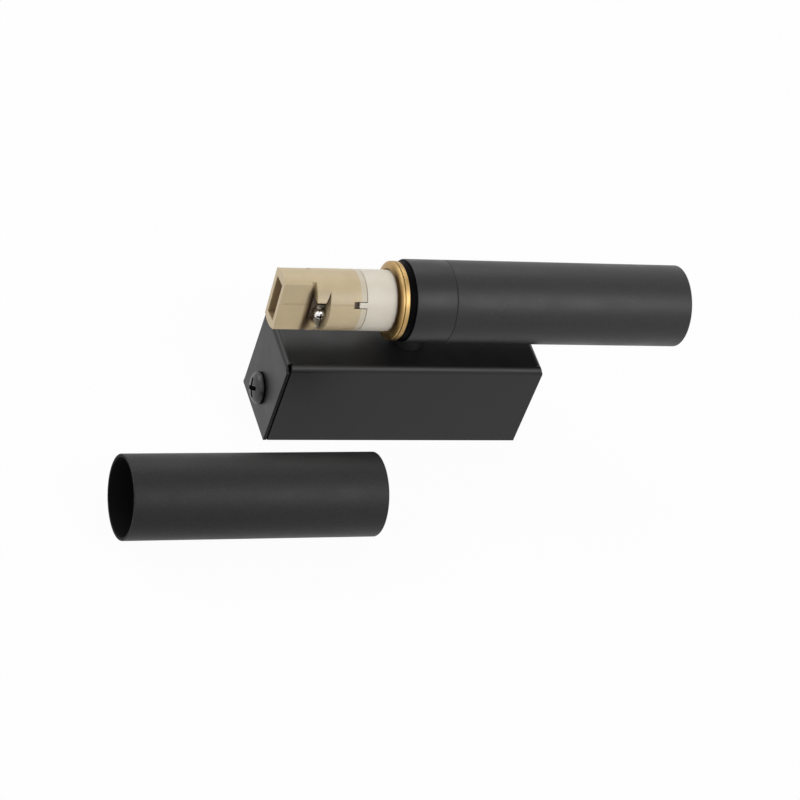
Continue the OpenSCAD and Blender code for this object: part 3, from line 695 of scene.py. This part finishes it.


# fine lines round the shades' axis, as a lathe tool leaves them, and the distance from the axis and how far
# a point faces the camera, which place the rings' painted shade
turning, group_in, group_out = new_group(
    "turning_lines", {"Pitch mm": 0.1}, ("Height", "Radius", "Forward"))
place = put(turning, "ShaderNodeTexCoord")
from_axis = put(turning, "ShaderNodeVectorMath", {1: (0, 0, axis_z * mm)}, operation="SUBTRACT")
parts = put(turning, "ShaderNodeSeparateXYZ")
across = put(turning, "ShaderNodeCombineXYZ")
reach = put(turning, "ShaderNodeVectorMath", operation="LENGTH")
row = put(turning, "ShaderNodeCombineXYZ")
per_metre = put(turning, "ShaderNodeMath", {0: 1000}, operation="DIVIDE")
lines = put(turning, "ShaderNodeTexNoise", {"Detail": 2, "Roughness": 0.5})
link(
    turning, (place, "Object", from_axis, 0), (from_axis, 0, parts, 0), (parts, "Y", across, "Y"),
    (parts, "Z", across, "Z"), (across, 0, reach, 0), (parts, "X", row, "X"), (reach, "Value", row, "Y"),
    (group_in, "Pitch mm", per_metre, 1), (row, 0, lines, "Vector"), (per_metre, 0, lines, "Scale"),
    (lines, "Fac", group_out, "Height"), (reach, "Value", group_out, "Radius"))
unit = put(turning, "ShaderNodeVectorMath", operation="NORMALIZE")
towards_camera = (0, -0.72, 0.69)
forward = put(turning, "ShaderNodeVectorMath", {1: towards_camera}, operation="DOT_PRODUCT")
link(turning, (across, 0, unit, 0), (unit, 0, forward, 0), (forward, "Value", group_out, "Forward"))

ring_brass, tree, shader = start_material("ring_brass", {"Metallic": 1})
skin = use_group(tree, sand, {"Grain mm": 0.5, "Cloud mm": 4})
lathe_lines = use_group(tree, turning, {"Pitch mm": 0.12})
tint = blend_colours(tree, spread(tree, skin.outputs["Cloud"], 0, 1), (0.4, 0.25, 0.09), (0.54, 0.37, 0.16))
# painted shade and a painted dark reflection on the cone near the cap, strongest on the side that faces the
# camera
near_cap = spread(tree, lathe_lines.outputs["Radius"], 1, 0, 0.0126, 0.0141)
on_front = spread(tree, lathe_lines.outputs["Forward"], 0.15, 1, 0.2, 0.75)
cap_shade_on_cone = blend_colours(tree, overlap(tree, near_cap, on_front), tint, (0.045, 0.022, 0.006))
colour_and_gloss(tree, shader, cap_shade_on_cone, skin.outputs["Cloud"], 0.36, 0.5)
raise_surface(tree, shader, lathe_lines.outputs["Height"], 0.35, 0.012, 0.1)

# painted shade in the groove
groove_shade = metal("groove_shade", (0.05, 0.025, 0.008), (0.09, 0.05, 0.018), 0.5)

ring_r = 14.2
ring_front = step_end + 3.75
ring_cone = ring_front - 1.25
ring_groove = step_end + 1.55
ring_seat = 12.15
ring_lip = 11.25
groove_half = 0.17
groove_depth = 0.3
ring_outline = [
    (step_end, ring_seat), (step_end, ring_r), (ring_groove, ring_r),
    (ring_groove + groove_half, ring_r - groove_depth), (ring_groove + 2 * groove_half, ring_r),
    (ring_cone, ring_r), (ring_front, ring_lip + 0.3), (ring_front - 0.3, ring_lip),
    (neck_end + 0.15, ring_lip), (neck_end + 0.15, ring_seat)]
ring_radii = [0, 0.15, 0.06, 0.03, 0.06, 0.35, 0.12, 0.12, 0, 0]
for side, s in (("left", -1), ("right", 1)):
    place = Matrix.Translation((0, 0, axis_z)) @ Matrix.Rotation(s * math.pi / 2, 4, "Y")
    ring = turned("brass_ring_" + side, rounded(ring_outline, ring_radii), place, 192)
    soften(ring, 0, angle=28)
    ring.data.materials.append(ring_brass)
    ring.data.materials.append(groove_shade)
    for face in ring.data.polygons:
        if ring_groove + 0.04 < abs(face.center.x) / mm < ring_groove + 0.3:
            face.material_index = 1
    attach(ring, "fixture")
    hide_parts("ring_" + side)

# Lampholders: a white cap screwed on a hollow nipple, and a beige body held in it by two tabs,
# with a slot mouth for a two-pin lamp, a screwed clip and sprung contacts behind the mouth.

holder_r = 11
cap_inner = holder_r - 1.45
plug_r = cap_inner - 0.05
cap_end = 25.3
body_end = 56.2
flat_start = 44.2
flat_y = 5.1
groove_w, groove_deep = 1.6, 1.2
pocket_start = 39.2
tab_angle = math.radians(180 - 25.6)
holder_turn = math.radians(7)
holder_tube_start = 2.4
cap_floor_end = 12.5
mouth_half_y, mouth_half_z = 3, 7.7
chamber_low, chamber_high = 2, 6.9
slot_half = 1.25
pocket_y = -5.15
pocket_low, pocket_high = -4.6, 5.2
channel_w = 3.2
notch_w = 1.8
notch_top = 8.4
clamp_x, clamp_y, clamp_z = 41.25, -5.65, -1.4
clamp_hole_r = 1.2
tab_start, tab_chamfer, tab_end = cap_end - 1, cap_end + 2.75, cap_end + 2.9
clear = 20  # a cutting tool's reach past the body


def band(tree, value, middle, half, fade):
    """A mask that is 1 within half of the middle value and falls to 0 over the fade."""
    off = put(tree, "ShaderNodeMath", {1: middle}, operation="SUBTRACT")
    size = put(tree, "ShaderNodeMath", operation="ABSOLUTE")
    tree.links.new(value, off.inputs[0])
    link(tree, (off, 0, size, 0))
    return spread(tree, size.outputs[0], 1, 0, half, half + fade)


def block(name, corner, opposite, place):
    """A box between two corners, used only as a cutting tool."""
    x_span, y_span, z_span = (sorted(pair) for pair in zip(corner, opposite))
    points = [place @ Vector((x, y, z)) for x in x_span for y in y_span for z in z_span]
    faces = [(0, 1, 3, 2), (4, 6, 7, 5), (0, 4, 5, 1), (2, 3, 7, 6), (0, 2, 6, 4), (1, 5, 7, 3)]
    return make_piece(name, points, faces)


cap_white = moulding("cap_white", (0.71, 0.65, 0.54), (0.79, 0.735, 0.62), 0.42, 0.5)

# where a point of a lampholder lies in mm: along its axis, across its flats, up, from its axis,
# and off the plane of its two tabs
where, group_in, group_out = new_group(
    "holder_place", {}, ("Along", "Across", "Up", "Radius", "Off plane"))
spot = put(where, "ShaderNodeTexCoord")
square = put(where, "ShaderNodeVectorRotate", {
    "Center": (0, 0, axis_z * mm), "Angle": holder_turn}, rotation_type="X_AXIS")
centred = put(where, "ShaderNodeVectorMath", {1: (0, 0, axis_z * mm)}, operation="SUBTRACT")
in_mm = put(where, "ShaderNodeVectorMath", {"Scale": 1000}, operation="SCALE")
flattened = put(where, "ShaderNodeVectorMath", {1: (0, 1, 1)}, operation="MULTIPLY")
from_axis = put(where, "ShaderNodeVectorMath", operation="LENGTH")
off_plane = put(where, "ShaderNodeVectorMath", {
    1: (0, -math.sin(tab_angle), math.cos(tab_angle))}, operation="DOT_PRODUCT")
parts = put(where, "ShaderNodeSeparateXYZ")
along_size = put(where, "ShaderNodeMath", operation="ABSOLUTE")
across_size = put(where, "ShaderNodeMath", operation="ABSOLUTE")
link(
    where, (spot, "Object", square, "Vector"), (square, "Vector", centred, 0), (centred, 0, in_mm, 0),
    (in_mm, 0, parts, 0), (in_mm, 0, flattened, 0), (flattened, 0, from_axis, 0),
    (in_mm, 0, off_plane, 0), (parts, "X", along_size, 0), (parts, "Y", across_size, 0),
    (along_size, 0, group_out, "Along"), (across_size, 0, group_out, "Across"),
    (parts, "Z", group_out, "Up"), (from_axis, "Value", group_out, "Radius"),
    (off_plane, "Value", group_out, "Off plane"))

# beige moulding, its marks and its painted shade; each has a colour, for a patchy one the cloud values
# between which it fades, and its place as middle, half and fade in mm
body_beige, tree, shader = start_material("body_beige")
skin = use_group(tree, sand, {"Grain mm": 0.5, "Cloud mm": 12})
spot = use_group(tree, where, {})
tint = blend_colours(
    tree, spread(tree, skin.outputs["Cloud"], 0, 1), (0.55, 0.435, 0.265), (0.645, 0.515, 0.315))
cream_end = (0.64, 0.565, 0.44), None, {"Along": (cap_end, 2.15, 0.25)}
parting_line = (0.3, 0.21, 0.11), (0.2, 0.6), {"Off plane": (0, 0.15, 0.35), "Along": (35, 8.5, 1)}
flat_line = (0.33, 0.235, 0.13), (0.1, 0.5), {
    "Up": (1.3, 0.2, 0.4), "Along": (50.5, 4, 1), "Across": (flat_y, 0.2, 0.2)}
# painted shade in the grooves beside the flats and on the walls of the steps above them
grooves = (0.24, 0.165, 0.085), None, {
    "Along": (flat_start + 1, 0.7, 1.1), "Across": (0, flat_y + 0.4, 2.2), "Up": (-2, 8, 2.5)}
# painted shadow in the pocket round the clamp screw
pocket = (0.07, 0.042, 0.02), None, {
    "Along": (pocket_start + 2.5, 2.6, 0.6), "Across": (0, 5.5, 3.6), "Up": (0, 5, 4)}
# painted shade in the key slots and in the joint where the body meets the cap
key_slots = (0.085, 0.052, 0.026), None, {
    "Along": (cap_end, 5.4, 0.1), "Radius": (0, holder_r - 0.25, 0.2)}
# painted shade inside the slot mouth
mouth = (0.4, 0.29, 0.16), None, {
    "Along": (flat_start, body_end - flat_start - 0.6, 0.5), "Across": (0, 3.1, 0.1),
    "Radius": (0, 8.6, 0.2)}
for colour, patches, ranges in (cream_end, parting_line, flat_line, grooves, pocket, key_slots, mouth):
    masks = [band(tree, spot.outputs[label], *limits) for label, limits in ranges.items()]
    if patches:
        masks.append(spread(tree, skin.outputs["Cloud"], *patches))
    tint = blend_colours(tree, overlap(tree, *masks), tint, colour)
colour_and_gloss(tree, shader, tint, skin.outputs["Cloud"], 0.35, 0.45)
raise_surface(tree, shader, skin.outputs["Height"], 0.1, 0.03, 0.2)
bright_steel = metal("nickel", (0.72, 0.71, 0.7), (0.88, 0.87, 0.86), 0.2, bump=0.03)
dull_strip = metal("dull_strip", (0.22, 0.2, 0.17), (0.36, 0.33, 0.28), 0.5)
contact_brass = metal("contact_brass", (0.62, 0.46, 0.2), (0.75, 0.6, 0.32), 0.3)
for side, s in (("left", -1), ("right", 1)):
    mirror = Matrix.Scale(s, 4, (1, 0, 0))
    place = Matrix.Translation((0, 0, axis_z)) @ mirror @ Matrix.Rotation(-holder_turn, 4, "X")
    holder_along = place @ Matrix.Rotation(math.pi / 2, 4, "Y")

    nipple = hollow_nipple("holder_tube_" + side, holder_tube_start, cap_floor_end, holder_along)
    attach(nipple, "fixture")
    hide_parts("holder_nipple_" + side)

    body = turned("beige_body_" + side, rounded([
        (cap_end - 2, 0), (cap_end - 2, plug_r), (cap_end, plug_r), (cap_end, holder_r - 0.3),
        (cap_end + 0.28, holder_r), (body_end, holder_r), (body_end, 0)],
        [0, 0.2, 0, 0, 0.1, 0, 0]), holder_along, 144)
    tools = []
    for f in (-1, 1):
        for end, floor in ((body_end + 1, flat_y), (flat_start + groove_w, flat_y - groove_deep)):
            tools.append(block("flat", (flat_start, f * floor, -clear), (end, f * clear, clear), place))
    mouth_low = (flat_start, -mouth_half_y, -mouth_half_z)
    tools.append(block("mouth", mouth_low, (body_end + 1, mouth_half_y, mouth_half_z), place))
    for f in (-1, 1):
        chamber_low_end = (cap_end - 3, -mouth_half_y, f * chamber_low)
        chamber_high_end = (flat_start + 1, mouth_half_y, f * chamber_high)
        tools.append(block("chamber", chamber_low_end, chamber_high_end, place))
    for half_turn in (0, math.pi):
        keyed = place @ Matrix.Rotation(tab_angle + half_turn, 4, "X")
        slot_low = (cap_end - 1, holder_r - 1.4, -slot_half)
        tools.append(block("key_slot", slot_low, (cap_end + 5, holder_r + 2, slot_half), keyed))
    pocket_low_corner = (pocket_start, -clear, pocket_low)
    tools.append(block("pocket", pocket_low_corner, (flat_start + 1, pocket_y, pocket_high), place))
    channel_low_corner = (pocket_start, -clear, -clear)
    tools.append(block("channel", channel_low_corner, (pocket_start + channel_w, pocket_y, 0), place))
    notch_end = pocket_start + notch_w
    notch_side = ((pocket_start, 0), (notch_end, 0), (notch_end, pocket_high), (pocket_start, notch_top))
    points = [place @ Vector((x, y, z)) for y in (-clear, pocket_y) for x, z in notch_side]
    faces = [(0, 1, 2, 3), (7, 6, 5, 4), (0, 4, 5, 1), (1, 5, 6, 2), (2, 6, 7, 3), (3, 7, 4, 0)]
    tools.append(make_piece("notch", points, faces))
    inward = place @ Matrix.Translation((clamp_x, 0, clamp_z)) @ Matrix.Rotation(math.pi / 2, 4, "X")
    tools.append(drill("screw_hole", clamp_hole_r, 2, 6, inward))
    cut(body, *tools)
    soften(body, 0, angle=30)
    body.data.materials.append(body_beige)
    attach(body, "fixture")
    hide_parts("holder_body_" + side)

    cap = turned("white_cap_" + side, rounded([
        (web_half, m10_hole_r), (web_half, holder_r), (cap_end, holder_r), (cap_end, cap_inner),
        (cap_floor_end, cap_inner), (cap_floor_end, m10_hole_r)],
        [0.2, 0.3, 0.15, 0.1, 0.3, 0.2]), holder_along, 144)
    # a tab: an inner and an outer layer, each of three rows of seven points
    tab_half = math.asin(1 / holder_r)
    for half_turn in (0, math.pi):
        points = []
        for radius in (cap_inner + 0.15, holder_r - 0.01):
            for x, share in ((tab_start, 1), (tab_chamfer, 1), (tab_end, 0.9)):
                for i in range(7):
                    turn = tab_angle + half_turn + tab_half * share * (i / 3 - 1)
                    points.append(place @ Vector((x, radius * math.cos(turn), radius * math.sin(turn))))
        faces = []
        for first in (0, 7, 21, 28):
            faces.extend((first + i, first + i + 1, first + i + 8, first + i + 7) for i in range(6))
        border = [0, 1, 2, 3, 4, 5, 6, 13, 20, 19, 18, 17, 16, 15, 14, 7]
        faces.extend((a, b, b + 21, a + 21) for a, b in zip(border, border[1:] + border[:1]))
        tab = make_piece("tab", points, faces)
        cut(cap, tab, operation="UNION")
    soften(cap, 0, angle=30)
    cap.data.materials.append(cap_white)
    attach(cap, "fixture")
    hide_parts("holder_cap_" + side)

    outward = place @ Matrix.Translation((clamp_x, clamp_y, clamp_z)) @ Matrix.Rotation(math.pi / 2, 4, "X")
    screw = pan_screw(
        "clamp_screw_" + side, outward, bright_steel, head_r=2.05, head_h=3.1, shank_r=1.15, shank_l=2.35,
        recess=(2.6, 0.65, 1.3), pitch=0.5, straight=0.45)
    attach(screw, "fixture")
    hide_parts("holder_screw_" + side)

    dress("holder_clip_" + side, dull_strip)
    dress("contacts_" + side, contact_brass)

# Shades: two lengths of 30 mm tube with 1.2 mm wall, bored out at the end that goes on the ring and
# powder coated black with a coarser sand texture. The right one is on its ring, the left one lies
# on the table.

shade_l = 93.5
bore_r = tube_r - 1.2
seat_r = tube_r - 0.7
seat_depth = 6.55
loose_spot = (-116.5, -57.75, tube_r)
loose_turn = math.radians(0.6)
coats = {
    "right": powder_coat(
        "shade_black", (0.008, 0.008, 0.0085), (0.012, 0.012, 0.0125), 0.75, 0.8, 0.46, 0.4),
    # the loose shade's coat is a darker, less glossy copy of the fitted one's, as painted shade; its bump is
    # coarser
    "left": powder_coat(
        "shade_black_shaded_copy", (0.007, 0.007, 0.0075), (0.01, 0.01, 0.0103), 0.8, 1.3, 0.5, 0.28)}
shade_outline = rounded(
    [(0, seat_r), (0, tube_r), (shade_l, tube_r), (shade_l, bore_r), (seat_depth, bore_r),
     (seat_depth, seat_r)],
    [0.1, 0.3, 0.3, 0.25, 0.05, 0.05])
shade_inside, tree, shader = start_material("shade_inside", {"Specular IOR Level": 0.12})
skin = use_group(tree, sand, {"Grain mm": 0.8, "Cloud mm": 12})
tint = blend_colours(
    tree, spread(tree, skin.outputs["Cloud"], 0, 1), (0.0022, 0.0022, 0.0023), (0.004, 0.004, 0.004))
colour_and_gloss(tree, shader, tint, skin.outputs["Height"], 0.6, 0.75)
raise_surface(tree, shader, skin.outputs["Height"], 0.4, 0.04)
right_place = along @ Matrix.Translation((0, 0, collar_half))
left_place = (Matrix.Translation(loose_spot) @ Matrix.Rotation(loose_turn, 4, "Z")
              @ Matrix.Rotation(-math.pi / 2, 4, "Y") @ Matrix.Translation((0, 0, -shade_l)))
for side, place in (("left", left_place), ("right", right_place)):
    shade = turned("tube_shade_" + side, shade_outline, place, 192)
    soften(shade, 0, angle=30)
    shade.data.materials.append(coats[side])
    shade.data.materials.append(shade_inside)
    middle = place @ Vector((0, 0, shade_l / 2)) * mm
    centre_line = (place @ Vector((0, 0, 1)) - place @ Vector((0, 0, 0))).normalized()
    for face in shade.data.polygons:
        arm = face.center - middle
        if (arm - centre_line * arm.dot(centre_line)).length < (seat_r + 0.1) * mm:
            face.material_index = 1
    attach(shade, side + "_shade")
    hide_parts("shade_" + side)

# Terminal block: a white plastic moulding that a zinc-plated screw holds to the bracket. Three brass
# inserts lie in it, and two zinc-plated screws in each clamp the wires.

insert_brass = metal("insert_brass", (0.6, 0.42, 0.18), (0.72, 0.52, 0.25), 0.35)
dress("terminal_block", white_plastic)
dress("terminal_inserts", insert_brass)
dress("terminal_screws", zinc)
dress("block_screw", zinc)

# Earth screw and lug: a brass-coloured screw turned into the bracket, which clamps the flat ring of
# a lug pressed from tinned copper.

tinned = metal("tinned_copper", (0.55, 0.55, 0.55), (0.68, 0.68, 0.69), 0.32)
dress("earth_screw", insert_brass)
dress("earth_lug", tinned)

# Wires: soft plastic sleeves 1.7 mm across, one brown and one blue to each lampholder and a short
# green and yellow one to the earth lug. The four bend up beside the block and rise in the stem.

wire_r = 0.85
lane = 1.3
bend = 4
pair = 0.95
insert_z = 7
block_y = 8
into_y = block_y - 1.6
near_y = 10.42
far_y = 12.72
brown_x = 26.5
blue_x = 17.5
under_bush = nipple_low - 1
rise = under_bush - insert_z
contact_z = 4.45
contact_tail = cap_end + 2.6
earth_pole_x = 8.5
lug_x = -9


def smooth_route(spots):
    """Points on a smooth curve through the spots."""
    steps = 6
    spots = [Vector(spot) for spot in spots]
    route = []
    for i in range(len(spots) - 1):
        a, b, c, d = spots[max(i - 1, 0)], spots[i], spots[i + 1], spots[min(i + 2, len(spots) - 1)]
        for step in range(steps):
            t = step / steps
            route.append(0.5 * (2 * b + (c - a) * t + (2 * a - 5 * b + 4 * c - d) * t ** 2
                                + (3 * b - a - 3 * c + d) * t ** 3))
    return route + [spots[-1]]


def wire(name, spots, paints, stripes=()):
    """A round wire along a smooth route; faces on the striped sides take the second paint."""
    sides = 16
    route = smooth_route(spots)
    points = []
    arm = Vector((1, 0, 0))
    for i, spot in enumerate(route):
        heading = (route[min(i + 1, len(route) - 1)] - route[max(i - 1, 0)]).normalized()
        arm = (arm - heading * arm.dot(heading)).normalized()
        other = heading.cross(arm)
        for k in range(sides):
            turn = math.tau * k / sides
            points.append(spot + wire_r * (math.cos(turn) * arm + math.sin(turn) * other))
    faces = [tuple(range(sides)), tuple(range(len(points) - sides, len(points)))]
    faces += ring_quads(range(0, len(points), sides), sides)
    piece = make_piece(name + "_sleeve", points, faces)
    for paint in paints:
        piece.data.materials.append(paint)
    for face in piece.data.polygons:
        if face.index > 1 and (face.index - 2) % sides in stripes:
            face.material_index = 1
    soften(piece, 0, angle=40)
    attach(piece, "fixture")
    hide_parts(name)


def lamp_wire(start, s, row):
    """The route from the block's side up the stem and out to a contact."""
    x, y = lane * s, lane * row
    end_y, end_z = row * contact_z * math.sin(holder_turn), row * contact_z * math.cos(holder_turn)
    return start + [
        (x, y, under_bush + 1), (x, y, (under_bush + axis_z) / 2), (x, y, axis_z - bend - 1),
        (x + s * bend * 0.3, y, axis_z - bend * 0.3), (x + s * (bend + 1), y, axis_z),
        (s * (web_half + 6), y, axis_z), (s * (cap_end - 3), 0.6 * y, axis_z + 0.7 * end_z),
        (s * (contact_tail - 0.3), end_y, axis_z + end_z)]


starts = {
    "brown_left": [
        (brown_x, into_y, insert_z - pair), (brown_x, block_y + 1.4, insert_z - pair),
        (brown_x, far_y, insert_z + 0.08 * rise), (brown_x - 1, far_y - 0.1, insert_z + 0.33 * rise),
        (brown_x - 6, block_y + 0.5, insert_z + 0.59 * rise),
        (0.51 * brown_x, 3.5, insert_z + 0.71 * rise), (6.5, -2, insert_z + 0.76 * rise),
        (1, -4, insert_z + 0.81 * rise), (-lane, -3, under_bush - 2)],
    "brown_right": [
        (brown_x, into_y, insert_z + pair), (brown_x, block_y + 0.8, insert_z + pair),
        (brown_x - 0.3, near_y, insert_z + 0.19 * rise), (brown_x - 2, near_y - 1.4, insert_z + 0.39 * rise),
        (brown_x - 8, block_y / 2, insert_z + 0.545 * rise), (0.4 * brown_x, 0.5, insert_z + 0.605 * rise),
        (4.5, -0.8, insert_z + 0.69 * rise), (1.9, -1.2, under_bush - 3)],
    "blue_left": [
        (blue_x, into_y, insert_z - pair), (blue_x, block_y + 1.4, insert_z - pair),
        (blue_x - 0.3, far_y, insert_z + 0.08 * rise), (blue_x - 3, far_y - 0.1, insert_z + 0.31 * rise),
        (0.46 * blue_x, far_y - 2.7, insert_z + 0.55 * rise), (1.5, 6.5, insert_z + 0.71 * rise),
        (-1.6, 3, under_bush - 3)],
    "blue_right": [
        (blue_x, into_y, insert_z + pair), (blue_x, block_y + 0.8, insert_z + pair),
        (blue_x - 0.4, near_y, insert_z + 0.19 * rise), (blue_x - 2, near_y - 0.6, insert_z + 0.37 * rise),
        (0.6 * blue_x, block_y - 1, insert_z + 0.55 * rise), (4.5, 3.4, insert_z + 0.71 * rise),
        (1.6, 1.5, under_bush - 3)]}
sleeves = {
    "brown": moulding("sleeve_brown", (0.16, 0.055, 0.02), (0.2, 0.075, 0.028), 0.4, 0.5),
    "blue": moulding("sleeve_blue", (0.02, 0.09, 0.32), (0.03, 0.12, 0.38), 0.4, 0.5)}
for label, start in starts.items():
    colour, side = label.split("_")
    wire("wire_" + label, lamp_wire(start, -1 if side == "left" else 1, -1 if colour == "brown" else 1),
         [sleeves[colour]])
earth_green = moulding("sleeve_green", (0.06, 0.26, 0.05), (0.08, 0.31, 0.06), 0.4, 0.5)
earth_yellow = moulding("sleeve_yellow", (0.66, 0.52, 0.04), (0.72, 0.58, 0.06), 0.4, 0.5)
wire("wire_earth", [
    (earth_pole_x, into_y, insert_z), (earth_pole_x, into_y + 2.4, insert_z), (6.5, far_y - 0.5, 7.6),
    (1.5, far_y + 0.2, 7.2), (-6, far_y - 0.1, 5.4), (lug_x, far_y - 1.9, 3.7), (lug_x, 7.7, 3.4),
    (lug_x, 6.1, 3.4)],
    [earth_green, earth_yellow], (0, 1, 2, 3, 8, 9, 10, 11))
